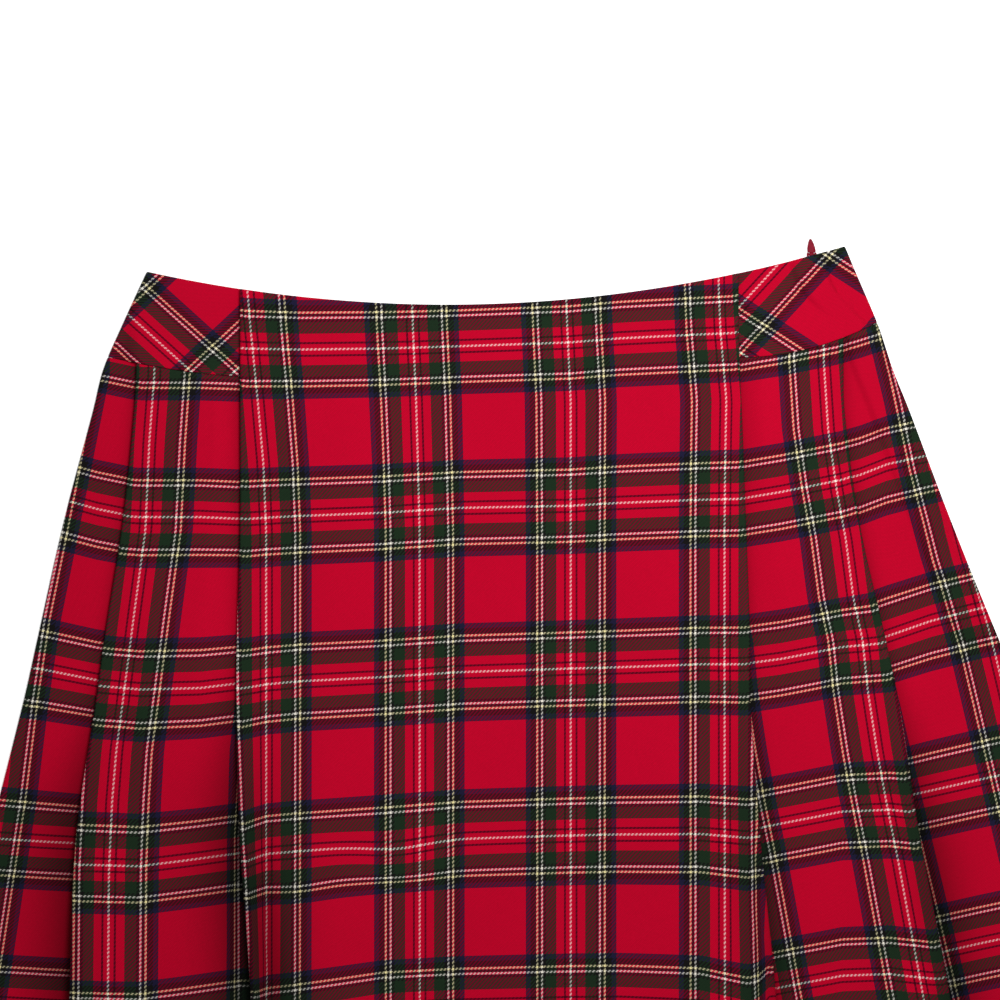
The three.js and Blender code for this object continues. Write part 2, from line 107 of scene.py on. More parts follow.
def section(name, below):
    """One column of SECTIONS at any place down the skirt, on a smooth curve through its rows."""
    down = SECTIONS[:, 0]
    across = SECTIONS[:, COLUMNS.index(name)]
    before = np.maximum(np.arange(len(down)) - 1, 0)
    after = np.minimum(np.arange(len(down)) + 1, len(down) - 1)
    slope = (across[after] - across[before]) / (down[after] - down[before])
    i = np.clip(np.searchsorted(down, below, side="right") - 1, 0, len(down) - 2)
    span = down[i + 1] - down[i]
    t = (below - down[i]) / span
    curve = (
        (2 * t**3 - 3 * t**2 + 1) * across[i]
        + (t**3 - 2 * t**2 + t) * slope[i] * span
        + (3 * t**2 - 2 * t**3) * across[i + 1]
        + (t**3 - t**2) * slope[i + 1] * span
    )
    return np.where(t > 1, across[-1] + slope[-1] * (below - down[-1]), curve)


def waist(x):
    chord = mix(*WAIST_ENDS, (x + WAIST_HALF) / (2 * WAIST_HALF))
    return chord + WAIST_DIP * (1 - (x / WAIST_HALF) ** 2)


def hem(panel, x):
    left, left_below, right, right_below = HEMS[panel]
    return mix(left_below, right_below, (x - left) / (right - left))


def lay_out(strips, top, bottom, shares):
    """Points of a panel's middle surface, from its -X edge to its +X edge in each row.
    A strip is (steps, place), and place(across, below) gives x and z. Each point settles at
    its share of the way down between the panel's two curves at its own x."""
    grids = []
    down = shares[:, None]
    for steps, place in strips:
        across = np.linspace(0, 1, steps + 1)[None, :]
        below = mix(top(0.0), bottom(0.0), down) + 0 * across
        for _ in range(6):
            x, z = place(across, below)
            below = mix(top(x), bottom(x), down)
        grids.append((x, below, z))
    return [np.hstack(parts) for parts in zip(*grids)]


def rows_down(count, length, crowd=1.0):
    """Shares of the way down, with four fine rows where each end of the cloth is rounded."""
    fine = np.array([0.0, 0.2, 0.5, 0.9, 1.5]) / length
    even = np.linspace(0, 1, count + 1)[1:-1] ** crowd
    even = even[(even > 1.5 * fine[-1]) & (even < 1 - 1.5 * fine[-1])]
    return np.concatenate([fine, even, (1 - fine)[::-1]])


def add_object(name, data):
    made = bpy.data.objects.new(name, data)
    bpy.context.scene.collection.objects.link(made)
    return made


ROUNDED_OVER = 0.9  # an end is rounded over this share of a wall
END_THICKNESS = 0.3  # and is this share of the wall thick at its tip


def cloth_shell(name, x, below, z, repeats, shaded=0.0):
    """A closed shell, one wall thick, round a grid of middle points. Its ends are rounded
    over, and its UV map counts the repeats of the check. shaded is painted shade, which
    darkens the cloth's colour in a pleat."""
    to_end = np.minimum(below - below[0], below[-1] - below)
    rounding = np.sqrt(1 - (1 - np.clip(to_end / (ROUNDED_OVER * WALL), 0, 1)) ** 2)
    half = WALL / 2 * mix(END_THICKNESS, 1.0, rounding)
    dx = np.gradient(x, axis=1)
    dz = np.gradient(z, axis=1)
    length = np.hypot(dx, dz)
    sheets = []
    for side in (1, -1):
        sheets.append(np.stack([
            ORIGIN_X + (x - side * half * dz / length) * MM,
            ORIGIN_Y - below * MM,
            (z + side * half * dx / length) * MM,
        ], axis=-1).reshape(-1, 3))
    rows, columns = x.shape
    index = np.arange(rows * columns).reshape(rows, columns)
    under = index + rows * columns
    a, b, c, d = index[:-1, :-1], index[1:, :-1], index[1:, 1:], index[:-1, 1:]
    quads = [np.stack([a, b, c, d], -1).reshape(-1, 4)]
    quads.append(quads[0][:, ::-1] + rows * columns)
    rims = [(index[:, 0], under[:, 0]), (under[:, -1], index[:, -1]),
            (under[0], index[0]), (index[-1], under[-1])]
    for near, far in rims:
        quads.append(np.stack([near[:-1], far[:-1], far[1:], near[1:]], -1))
    mesh = bpy.data.meshes.new(name)
    mesh.from_pydata(np.vstack(sheets).tolist(), [], np.vstack(quads).tolist())
    corners = np.zeros(len(mesh.loops), int)
    mesh.loops.foreach_get("vertex_index", corners)
    uv = np.tile(np.stack(repeats, -1).reshape(-1, 2), (2, 1))[corners]
    mesh.uv_layers.new(name="check").data.foreach_set("uv", uv.ravel())
    # Painted shade, kept on each point for the material to darken the colour with.
    depth = np.tile((shaded + 0 * x).ravel(), 2).astype(np.float32)
    mesh.attributes.new("shaded", "FLOAT", "POINT").data.foreach_set("value", depth)
    mesh.polygons.foreach_set("use_smooth", np.ones(len(mesh.polygons), bool))
    mesh.set_sharp_from_angle(angle=math.radians(50))
    return add_object(name, mesh)


class Shade:
    """A value in a material's node tree. Arithmetic on it adds Math nodes to that tree."""

    def __init__(self, tree, socket=None):
        self.tree = tree
        self.socket = socket

    def node(self, kind, settings=None, inputs=None, output=0):
        """Adds a node: its settings first, then the values or links of its sockets."""
        made = self.tree.nodes.new(kind)
        for name, value in (settings or {}).items():
            if name == "stops":
                self.set_stops(made.color_ramp, value)
            elif name == "interpolation":
                made.color_ramp.interpolation = value
            else:
                setattr(made, name, value)
        for key, value in (inputs or {}).items():
            if isinstance(value, Shade):
                self.tree.links.new(value.socket, made.inputs[key])
            else:
                made.inputs[key].default_value = value
        return Shade(self.tree, made.outputs[output])

    def set_stops(self, ramp, stops):
        while len(ramp.elements) < len(stops):
            ramp.elements.new(1.0)
        for element, (place, colour) in zip(ramp.elements, stops):
            element.position = place
            element.color = (*colour, 1)

    def math(self, operation, *values):
        return self.node("ShaderNodeMath", {"operation": operation}, dict(enumerate(values)))

    def blend(self, other, share):
        """This colour where share is 0, and the other where it is 1."""
        return self.node(
            "ShaderNodeMix", {"data_type": "RGBA"}, {0: share, 6: self, 7: other}, output=2
        )

    def __add__(self, other):
        return self.math("ADD", self, other)

    def __sub__(self, other):
        return self.math("SUBTRACT", self, other)

    def __rsub__(self, other):
        return self.math("SUBTRACT", other, self)

    def __mul__(self, other):
        return self.math("MULTIPLY", self, other)

    def __truediv__(self, other):
        return self.math("DIVIDE", self, other)

    __radd__ = __add__
    __rmul__ = __mul__


def start_material(name, **constants):
    """A new material, its shader with the constant sockets set, and an empty Shade."""
    made = bpy.data.materials.new(name)
    made.use_nodes = True
    shader = made.node_tree.nodes["Principled BSDF"]
    for key, value in constants.items():
        shader.inputs[key.replace("_", " ")].default_value = value
    return made, shader, Shade(made.node_tree)


def feed(shader, shade, socket):
    shade.tree.links.new(shade.socket, shader.inputs[socket])


# Half of the check, counted in threads from the middle of the fine white line. The other half
# is its mirror image, and the same count runs down the cloth and across it.
THREADS = [
    ("white", 1), ("red", 4), ("wine", 2), ("red", 8), ("green", 11), ("black", 3),
    ("white", 2), ("black", 3), ("yellow", 2), ("black", 6), ("navy", 5), ("red", 32),
]
HALF_CHECK = sum(count for _, count in THREADS)
YARNS = {
    "red": (0.64, 0.002, 0.065),
    "white": (0.90, 0.86, 0.78),
    "yellow": (0.88, 0.80, 0.48),
    "black": (0.009, 0.008, 0.008),
    "wine": (0.060, 0.002, 0.008),
    "green": (0.013, 0.030, 0.014),
    "navy": (0.015, 0.013, 0.042),
}
# How far the thread below tints a float: any float, and how much more a red one and less a
# pale one.
TINT = {"any": 0.25, "red": 0.83, "pale": 0.50}
BETWEEN_FLOATS = 0.03  # share of the cloth where the thread below shows beside a float
FLOAT_LIGHT = (0.68, 0.46)  # painted shade between floats, and how much lighter a float's top is painted
FIBRES = {"scale": 900.0, "light": 0.2, "rough": 0.12, "relief": 0.5}  # loose fibres
DYE = {"scale": 14.0, "light": 0.16}  # a slightly uneven dye


def tartan_twill():
    """Two by two twill in worsted yarn. Each place shows the warp or the weft thread on top,
    in the colour that the check gives that thread."""
    made, shader, shade = start_material(
        "tartan_twill", Specular_IOR_Level=0.04, Sheen_Weight=0.01, Sheen_Roughness=0.5
    )
    place = shade.node("ShaderNodeUVMap", {"uv_map": "check"})
    parts = {
        axis: shade.node("ShaderNodeSeparateXYZ", None, {0: place}, output=axis) * (2 * HALF_CHECK)
        for axis in (0, 1)
    }
    warp, weft = parts[0], parts[1]
    warp_count = warp.math("FLOOR", warp)
    weft_count = weft.math("FLOOR", weft)
    stops = []
    done = 0
    for yarn, count in THREADS:
        stops.append((done / HALF_CHECK, YARNS[yarn]))
        done += count
    colours = []
    for count in (warp_count, weft_count):
        folded = count.math("PINGPONG", count + 0.5, HALF_CHECK) / HALF_CHECK
        colours.append(shade.node(
            "ShaderNodeValToRGB", {"interpolation": "CONSTANT", "stops": stops}, {0: folded}
        ))
    step = shade.math("FLOORED_MODULO", warp_count + weft_count, 4)
    warp_on_top = step.math("LESS_THAN", step, 1.5)
    on_top = colours[1].blend(colours[0], warp_on_top)
    below = colours[0].blend(colours[1], warp_on_top)
    # Light that passes through a float takes on the colour of the thread below. That shows
    # most on a red float and least on a dark one.
    redness, paleness = (
        shade.node("ShaderNodeSeparateColor", None, {0: on_top}, output=k) for k in (0, 1)
    )
    tint = redness * TINT["red"] - paleness * TINT["pale"] + TINT["any"]
    tinted = shade.node(
        "ShaderNodeMix", {"data_type": "RGBA", "blend_type": "MULTIPLY"},
        {0: tint, 6: on_top, 7: below}, output=2,
    )
    colour = tinted.blend(below, BETWEEN_FLOATS)
    # Each float passes over two threads, so it is highest halfway along and across itself.
    floats = []
    for across, along, start in ((warp, weft + warp_count, 0), (weft, warp + weft_count, 2)):
        width = across.math("FRACT", across) - 0.5
        length = shade.math("FLOORED_MODULO", along, 4) - start
        crown = (1 - width * width * 4) * (1 - (length - 1) * (length - 1))
        floats.append(crown.math("MAXIMUM", crown, 0.0))
    height = floats[0] * warp_on_top + floats[1] * (1 - warp_on_top)
    where = shade.node("ShaderNodeTexCoord", output=3)
    fuzz = shade.node(
        "ShaderNodeTexNoise", None, {"Vector": where, "Scale": FIBRES["scale"], "Detail": 2.0}
    )
    dye = shade.node(
        "ShaderNodeTexNoise", None, {"Vector": where, "Scale": DYE["scale"], "Detail": 3.0}
    )
    # The pleats' painted shade, kept on the mesh, darkens the base colour.
    shaded = shade.node("ShaderNodeAttribute", {"attribute_name": "shaded"}, output=2)
    # The base colour is painted darker between floats and lighter on each float's top, as shade;
    # fibres and dye then vary it at random, and the pleats' painted shade darkens it.
    light = height * FLOAT_LIGHT[1] + FLOAT_LIGHT[0]
    light = light * (fuzz * FIBRES["light"] + (1 - FIBRES["light"] / 2))
    light = light * (dye * DYE["light"] + (1 - DYE["light"] / 2)) * (1 - shaded)
    feed(shader, colour.node(
        "ShaderNodeVectorMath", {"operation": "SCALE"}, {0: colour, "Scale": light}
    ), "Base Color")
    feed(shader, fuzz * FIBRES["rough"] + 0.8, "Roughness")
    bump = shade.node("ShaderNodeBump", None, {
        "Strength": 0.35, "Distance": 0.15 * MM, "Height": height + fuzz * FIBRES["relief"],
    })
    feed(shader, bump, "Normal")
    return made


tartan = tartan_twill()


def back_hem(x):
    left_edge, right_edge = HEMS["side_left"][2], HEMS["side_right"][0]
    across = np.clip((x - left_edge) / (right_edge - left_edge), 0, 1)
    middle = mix(hem("side_left", left_edge), hem("side_right", right_edge), across)
    middle = middle + BACK_BOW * np.sin(math.pi * across)
    sides = np.where(x < left_edge, hem("side_left", x), hem("side_right", x))
    return np.where((x < left_edge) | (x > right_edge), sides, middle)


def back_place(across, below):
    left = section("side_left", below) + BACK_INSET
    right = section("side_right", below) - BACK_INSET
    return mix(left, right, across), WALL / 2 + 0 * below * across


x, below, z = lay_out(
    [(70, back_place)], lambda x: waist(x) + BACK_DROP, back_hem, rows_down(60, 580)
)
repeats = ((x - LINE_ACROSS) / REPEAT, (below - LINE_BELOW) / REPEAT_DOWN)
back = cloth_shell("back", x, below, z, repeats)
back.data.materials.append(tartan)
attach(back, "skirt")
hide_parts("back_panel")

# Side panels, left and right. Wool twill from the hip seam to the hem: each comes out from
# under the outer pleat, runs to the side edge and turns down there, round the back panel.
SEAM_GAP = 0.3  # clearance between two layers that lie flat
OPEN_GAP = 1.7  # and between the layers of a pleat at the hem
STITCHED_TO = 205.0  # the pleats are sewn shut down to here
FULL_LENGTH = 610.0
LOWEST_FRONT = WALL + SEAM_GAP + WALL / 2
SEAM_CUT = 0.08  # the edge of a curved seam is cut back by this much
SIDE_RADIUS = 1.1
SIDE_TURN_FROM = 0.35  # height of the lowest point of the turned-down edge
TURN_STEPS = 7  # steps of the mesh down that edge: one straight, then those of the turn
FLAT_FROM = 3.0  # the cloth lies flat from this far inside the side edge
# The seam under each yoke: its inner end, how far below that is, its reach and its rise.
YOKE_SEAMS = {"left": (-123, 62.5, 64.5, 9.5, 1.6), "right": (118.5, 53.5, 67, 17.5, 2)}
ZIP_LENGTH = 175.0
ZIP_INSET = 10.2  # the zip lies this far inside the side edge
ZIP_TURNS = (8.0, 46.0)  # and bends out to it between these places
LIFT_OVER_ZIP = 2.2  # the front stands this much higher over the zip
LIFT_OVER_SLIDER = 0.5  # and this much more over the slider, which fades between these places
SLIDER_LIFT_FADES = (18.0, 34.0)
LIFT_FLAT = 5.8  # half the width of the lift's flat top, and the widths of its two shoulders
LIFT_SHOULDERS = {"inner": 5.0, "outer": 2.4}
LIFT_FADES = (6.0, 22.0)  # it fades out between these distances past the zip's end
LIFT_BESIDE_FOLD = (0.7, 4.2)  # and between these distances from the outer fold
# Soft ridges and troughs in the front, from one end to the other: x and below of both ends,
# the width to each side, and the height in steps of CREASE_STEP, negative in a trough.
CREASE_STEP = 1.6
CREASES = [
    (-60, 250, -84, 600, 26, 1.1), (2, 300, -6, 600, 30, 0.9), (62, 210, 74, 600, 24, 1.2),
    (104, 330, 110, 590, 12, 0.7), (-100, 330, -96, 600, 12, 0.7), (-30, 120, -44, 300, 20, 0.5),
    (34, 140, 30, 280, 22, -0.4), (-92, 150, -104, 320, 10, -0.5), (-150, 260, -160, 600, 12, 0.8),
    (-185, 320, -192, 600, 8, 0.6), (-176, 120, -182, 250, 7, -0.4), (150, 230, 176, 590, 13, 0.9),
    (196, 330, 218, 590, 9, 0.7), (160, 110, 170, 230, 8, -0.4), (-232, 260, -262, 590, 14, 0.9),
    (-222, 330, -232, 590, 8, -0.6), (244, 250, 292, 570, 14, 1.1), (284, 330, 336, 560, 12, 0.9),
    (222, 150, 250, 260, 9, -0.5), (-214, 120, -226, 230, 8, -0.4),
]
CREASE_TAPER = 0.3  # the ends of a crease are drawn out, the more the smaller this is
CREASE_BED = 0.7  # the front lies this much higher where creases are, so that troughs fit in
CREASES_FROM = (90.0, 260.0)  # that rise starts and ends at these places down the skirt
CREASES_INSIDE = (3.0, 22.0)  # and creases fade in between these distances from a side edge
PLEAT_OPENS = 190.0  # a pleat begins to stand up here
PLEAT_OPEN = 450.0  # and stands up fully from here to the hem
SHADE_FULL = 300.0  # its painted shade on the cloth beside its fold is fullest from here
RIM_FULL = 370.0  # and the painted shade on the pleat itself from here
# Painted shade for each pleat, which darkens the cloth's colour: how dark it is beside the
# fold where the pleat is sewn shut and at the hem, how far that reaches at both places, and
# the darkness of the painted shade on the pleat itself, how far inside its fold that lies
# and how far it reaches.
PLEAT_SHADES = {
    "outer_left": (0.24, 0.65, 4, 20, 0.30, 0, 7),
    "inner_left": (0.24, 0.75, 4, 22, 0.65, 9, 15),
    "inner_right": (0.24, 0.45, 4, 7, 0.35, 0, 14),
    "outer_right": (0.24, 0.68, 4, 16, 0.30, 0, 7),
}
# Where the fine white line of the check runs down each side panel, as (below, x). Then, at
# places across the panel, how far down the fine white lines cross it: x and four of them.
SIDE_LINES = {
    "left": ((62, -207.6), (105, -216.2), (142, -223.5), (180, -231.2), (219, -237), (267, -242.8),
             (315, -250), (364, -257.4), (620, -296)),
    "right": ((20, 196.2), (40, 200.8), (74, 209), (108, 216.2), (132, 222.5), (151, 227.3),
              (166, 232.2), (195, 240.9), (219, 246.6), (240, 251.5), (364, 281), (620, 341)),
}
SIDE_ROWS = {
    "left": ((-250, 34, 114, 199, 285), (-217, 40, 119.5, 204.2, 287),
             (-192, 46.5, 126.5, 209.1, 288.2), (-170, 51, 131, 212, 289)),
    "right": ((165, 33.5, 113, 197, 277), (176, 30, 110.1, 192.5, 272), (189, 26, 105, 188, 267),
              (210, 21, 100.3, 180.6, 262.4), (234, 16, 95, 174.3, 257), (262, 10, 89, 168, 251)),
}


def pitch(below):
    return WALL + mix(SEAM_GAP, OPEN_GAP, soft(below, STITCHED_TO, FULL_LENGTH))


def level(number, below):
    """Height of the middle of a layer of the front, counted from 1 upwards."""
    return LOWEST_FRONT + (number - 1) * pitch(below)


def yoke_seam(side, x):
    inner, inner_below, reach, rise, power = YOKE_SEAMS[side]
    return inner_below - rise * (np.maximum(0, np.abs(x) - abs(inner)) / reach) ** power


def zip_middle(below):
    return mix(SLIDER_ACROSS, section("side_right", below) - ZIP_INSET, soft(below, *ZIP_TURNS))


def zip_lift(x, below):
    """How far the front stands proud over the zip."""
    away = x - zip_middle(below)
    shoulder = np.where(away > 0, LIFT_SHOULDERS["outer"], LIFT_SHOULDERS["inner"])
    across = 1 - soft(np.abs(away), LIFT_FLAT, LIFT_FLAT + shoulder)
    along = 1 - soft(below - ZIP_LENGTH, *LIFT_FADES)
    over_slider = LIFT_OVER_SLIDER * (1 - soft(below, *SLIDER_LIFT_FADES))
    return across * along * (LIFT_OVER_ZIP + over_slider)


def creased(x, below):
    """How far the creases lift every layer of the front, fading out at the side edges."""
    height = CREASE_BED * soft(below, *CREASES_FROM)
    for x1, below1, x2, below2, width, rise in CREASES:
        along = ((x - x1) * (x2 - x1) + (below - below1) * (below2 - below1)) / (
            (x2 - x1) ** 2 + (below2 - below1) ** 2
        )
        nearest = np.clip(along, 0, 1)
        down = CREASE_TAPER * (below - mix(below1, below2, nearest))
        away = np.hypot(x - mix(x1, x2, nearest), down)
        fade = soft(along, -0.1, 0.5) * (1 - 0.4 * soft(along, 0.8, 1.3))
        height = height + CREASE_STEP * rise * fade * np.exp(-((away / width) ** 2))
    inside = np.minimum(x - section("side_left", below), section("side_right", below) - x)
    return np.maximum(height, 0) * soft(inside, *CREASES_INSIDE)


def count_across(lines, x, below, repeat):
    """Place across the cloth, in repeats of the check, between lines of known count. Each
    line is a count and its points, (below, x)."""
    counts = sorted(lines)
    places = [np.interp(below, *np.array(lines[count]).T) for count in counts]
    found = counts[0] + (x - places[0]) / repeat
    for k in range(len(counts) - 1):
        share = (x - places[k]) / (places[k + 1] - places[k])
        found = np.where(x > places[k], mix(counts[k], counts[k + 1], share), found)
    return np.where(x > places[-1], counts[-1] + (x - places[-1]) / repeat, found)


def rows_count(rows, x, below):
    """Place down the cloth, in repeats, between the fine lines that run across it."""
    across = [row[0] for row in rows]
    crossed = [np.interp(x, across, [row[k] for row in rows]) for k in range(1, len(rows[0]))]
    count = (below - crossed[0]) / (crossed[1] - crossed[0])
    for k in range(1, len(crossed) - 1):
        share = (below - crossed[k]) / (crossed[k + 1] - crossed[k])
        count = np.where(below > crossed[k], k + share, count)
    beyond = len(crossed) - 1 + (below - crossed[-1]) / REPEAT_DOWN
    return np.where(below > crossed[-1], beyond, count)


def pleat_shade(fold, sign, x, below):
    """Painted shade: darkness of cloth close outside a fold that stands over it, and behind it."""
    outside = np.maximum(0, sign * (section(fold, below) - x))
    sewn, opened, sewn_reach, open_reach = PLEAT_SHADES[fold][:4]
    share = soft(below, PLEAT_OPENS, SHADE_FULL)
    reach = mix(sewn_reach, open_reach, share)
    return mix(sewn, opened, share) * np.exp(-((outside / reach) ** 1.5))


def rim_shade(fold, sign, x, below):
    """Painted shade: darkness of a pleat at its own fold, where its cloth rolls over or dips."""
    dark, place, reach = PLEAT_SHADES[fold][4:]
    away = np.abs(sign * (x - section(fold, below)) - place)
    return dark * soft(below, PLEAT_OPENS, RIM_FULL) * np.exp(-((away / reach) ** 1.5))


def side_turn(edge, sign):
    """The strip that turns down round the side edge of the back."""

    def place(across, below):
        if sign < 0:
            across = 1 - across
        turn = np.maximum(0, across * TURN_STEPS - 1) / (TURN_STEPS - 1) * math.pi / 2
        drop = (across < 0.5 / TURN_STEPS) * (LOWEST_FRONT - SIDE_RADIUS - SIDE_TURN_FROM)
        x = section(edge, below) + sign * (WALL / 2 + SIDE_RADIUS * (1 - np.cos(turn)))
        return x, LOWEST_FRONT - SIDE_RADIUS * (1 - np.sin(turn)) - drop + 0 * below

    return TURN_STEPS, place


def side_flat(side, sign):
    def place(across, below):
        if sign < 0:
            across = 1 - across
        fold = section("outer_" + side, below)
        start = section("side_" + side, below) + sign * FLAT_FROM
        end = fold + sign * section("outer_depth", below)
        x = mix(start, end, across)
        lift = 0
        if side == "right":
            lift = zip_lift(x, below) * soft(x - fold, *LIFT_BESIDE_FOLD)
        return x, level(1, below) + lift

    return 70, place


for side, sign in (("left", 1), ("right", -1)):
    panel = "side_" + side
    strips = [side_turn(panel, sign), side_flat(side, sign)][::sign]
    x, below, z = lay_out(
        strips,
        lambda x: yoke_seam(side, x) + SEAM_CUT,
        lambda x: hem(panel, x),
        rows_down(130, 530, crowd=1.2),
    )
    repeats = (
        count_across({0: SIDE_LINES[side]}, x, below, REPEAT),
        rows_count(SIDE_ROWS[side], x, below),
    )
    shaded = pleat_shade("outer_" + side, sign, x, below)
    made = cloth_shell("side_panel_" + side, x, below, z + creased(x, below), repeats, shaded)
    made.data.materials.append(tartan)
    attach(made, "skirt")
    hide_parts("front_side_panel_" + side)

# Middle panels, left and right. Each comes out from under the centre panel, rises over the
# outer pleat and turns under at its outer edge in a pressed fold; its top is sewn to the yoke.
FOLD_CLEAR = WALL / 2 + 1.6  # where a fold's round part ends
RAMP_PAST = 2.2  # between its pleats the panel starts to sink this far past the outer one
RAMP_SHORT = 1.2  # and lies on the back from this far outside the inner fold
MID_REPEAT = 75.0  # the check as it lies on these panels, a little stretched
MID_PUFF = {"height": 4.0, "width": 46}  # the outer pleat stands up this much more at the hem
PUFF_FROM = 8.0  # that stand is fullest up to this far inside the fold
FURROW = {"place": 11.0, "reach": 4.5, "depth": 0.5}  # inside the fold, as a share of the stand
RETURN_STEPS = 8  # steps of the mesh across the cloth behind a fold, and round the fold
FOLD_STEPS = 10
BEHIND = RETURN_STEPS + FOLD_STEPS + 2  # columns of points in both
# Lines down each panel, each under its count in repeats, and rows across it, as on the side
# panels.
MID_LINES = {
    "left": {
        0: ((62, -164.2), (94, -166.6), (137, -168.5), (180, -174.3), (215, -178.8), (243, -182.5),
            (267, -184.4), (301, -185.9), (364, -186.3), (480, -189.2), (620, -192.7)),
        0.7025: ((62, -110.1), (137, -114.4), (215, -124.7), (243, -128), (284, -129.2),
                 (364, -129.5), (480, -131.5), (620, -134)),
        0.797: ((62, -102.9), (137, -107.2), (215, -118.5), (243, -122), (284, -124.7),
                (364, -124.7), (480, -126), (620, -128)),
    },
    "right": {
        0: ((55, 158.4), (88, 160.5), (117, 164.6), (141, 169), (170, 172.8), (190, 177.2),
            (214, 179.6), (243, 184), (267, 188.3), (296, 194.1), (364, 206.5), (480, 222.5),
            (620, 240.5)),
    },
}
MID_ROWS = {
    "left": ((-200, 49.5, 128.6, 211, 297.9), (-171, 50.5, 130.4, 213.5, 298.6),
             (-142, 50.5, 130.4, 212.8, 295), (-123, 51, 131.3, 210.5, 292.5)),
    "right": ((118, 42, 121.7, 201.5, 282.5), (138, 38.8, 118.3, 198.8, 278.2),
              (167, 33, 112.5, 193.1, 272.3), (190, 27.5, 105, 191, 271.4),
              (210, 24, 100, 189, 273.5)),
}


def return_strip(fold, depth, sign):
    """The cloth of a pleat that lies behind its fold, in the middle layer."""

    def place(across, below):
        if sign < 0:
            across = 1 - across
        start = section(fold, below) + sign * section(depth, below)
        end = section(fold, below) + sign * (FOLD_CLEAR + 1)
        return mix(start, end, across), level(2, below) + 0 * across

    return RETURN_STEPS, place


def fold_strip(fold, sign):
    """The round of a fold, from the middle layer out and up to the top layer."""

    def place(across, below):
        if sign < 0:
            across = 1 - across
        turn = math.pi * (across - 0.5)
        radius = pitch(below) / 2
        middle = section(fold, below) + sign * (WALL / 2 + radius)
        return middle - sign * radius * np.cos(turn), level(2.5, below) + radius * np.sin(turn)

    return FOLD_STEPS, place


def mid_strip(side, sign):
    def place(across, below):
        if sign < 0:
            across = 1 - across
        fold = section("outer_" + side, below)
        under = section("inner_" + side, below)
        start = fold + sign * (FOLD_CLEAR + 1)
        end = under + sign * section("inner_depth", below)
        x = mix(start, end, across)
        ramp = fold + sign * (section("outer_depth", below) + RAMP_PAST)
        share = soft(sign * x, sign * ramp, sign * (under - sign * RAMP_SHORT))
        return x, mix(level(3, below), level(1, below), share)

    return 84, place


def puff(fold, sign, x, below, size):
    """How far a pleat stands up off the layers below, most at its fold and at the hem. A
    shallow furrow runs along behind the fold."""
    inside = sign * (x - section(fold, below))
    furrow = np.exp(-(((inside - FURROW["place"]) / FURROW["reach"]) ** 2))
    across = (1 - soft(inside, PUFF_FROM, size["width"])) * (1 - FURROW["depth"] * furrow)
    return size["height"] * soft(below, PLEAT_OPENS, PLEAT_OPEN) * across


def run_on(repeats, x, z, first, last, repeat):
    across, down = (part.copy() for part in repeats)
    steps = np.hypot(np.diff(x, axis=1), np.diff(z, axis=1)) / repeat
    for i in range(first - 1, -1, -1):
        across[:, i] = across[:, i + 1] - steps[:, i]
        down[:, i] = down[:, i + 1]
    for i in range(last + 1, x.shape[1]):
        across[:, i] = across[:, i - 1] + steps[:, i - 1]
        down[:, i] = down[:, i - 1]
    return across, down


for side, sign in (("left", 1), ("right", -1)):
    fold = "outer_" + side
    strips = [
        return_strip(fold, "outer_depth", sign), fold_strip(fold, sign), mid_strip(side, sign)
    ][::sign]
    x, below, z = lay_out(
        strips,
        lambda x: yoke_seam(side, x) + SEAM_CUT,
        lambda x: hem("mid_" + side, x),
        rows_down(130, 540),
    )
    repeats = (
        count_across(MID_LINES[side], x, below, MID_REPEAT),
        rows_count(MID_ROWS[side], x, below),
    )
    end = x.shape[1] - 1
    first, last = (BEHIND, end) if side == "left" else (0, end - BEHIND)
    repeats = run_on(repeats, x, z, first, last, REPEAT)
    z = z + creased(x, below) + puff(fold, sign, x, below, MID_PUFF)
    shaded = pleat_shade("inner_" + side, sign, x, below) + rim_shade(fold, sign, x, below)
    made = cloth_shell("mid_panel_" + side, x, below, z, repeats, shaded)
    made.data.materials.append(tartan)
    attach(made, "skirt")
    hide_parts("front_mid_panel_" + side)

# Centre panel. One width of wool twill from the waist to the hem with no seam at the hip; both
# long edges turn under in pressed folds, the inner pleats, and its middle sinks to the back.
CENTRE_HEM = (597.5, -0.045, 0.0004)  # at the middle, its tilt and its bow
CENTRE_SINK = (3.0, 44.0)  # it sinks to the back between these distances past the pleats
CENTRE_PUFF = {"height": 5.0, "width": 62}  # its pleats stand up this much more at the hem
# The fine white lines that run down the panel, and the lines beside its two folds; then the
# rows across it.
CENTRE_LINES = {
    -1.203: ((20, -134), (74, -129.3), (137, -125.3), (219, -124.6), (232, -124.2),
             (274, -122.4), (291, -121.3), (318, -119.2), (339, -117.7), (364, -116.2),
             (480, -113), (620, -110.5)),
    -1: ((20, -119.5), (40, -117.8), (74, -114.4), (105, -111.6), (137, -110.3), (364, -110.3),
         (480, -105), (620, -98)),
    0: ((20, -40.2), (40, -39.6), (74, -38.1), (105, -37.2), (137, -36.4), (620, -36.2)),
    1: ((20, 34.2), (40, 34.9), (74, 36.5), (620, 36.5)),
    2: ((20, 107.8), (40, 108.6), (74, 111.5), (105, 110.9), (137, 110.6), (364, 110.6),
        (480, 112), (620, 115)),
    2.203: ((20, 121.8), (74, 125.2), (219, 124.5), (260, 124.4), (315, 124.9), (364, 126.4),
            (480, 128.2), (620, 131.5)),
    2.297: ((20, 128.7), (74, 132), (219, 130), (286, 128.5), (315, 129.1), (364, 130.2),
            (480, 134), (620, 138.5)),
}
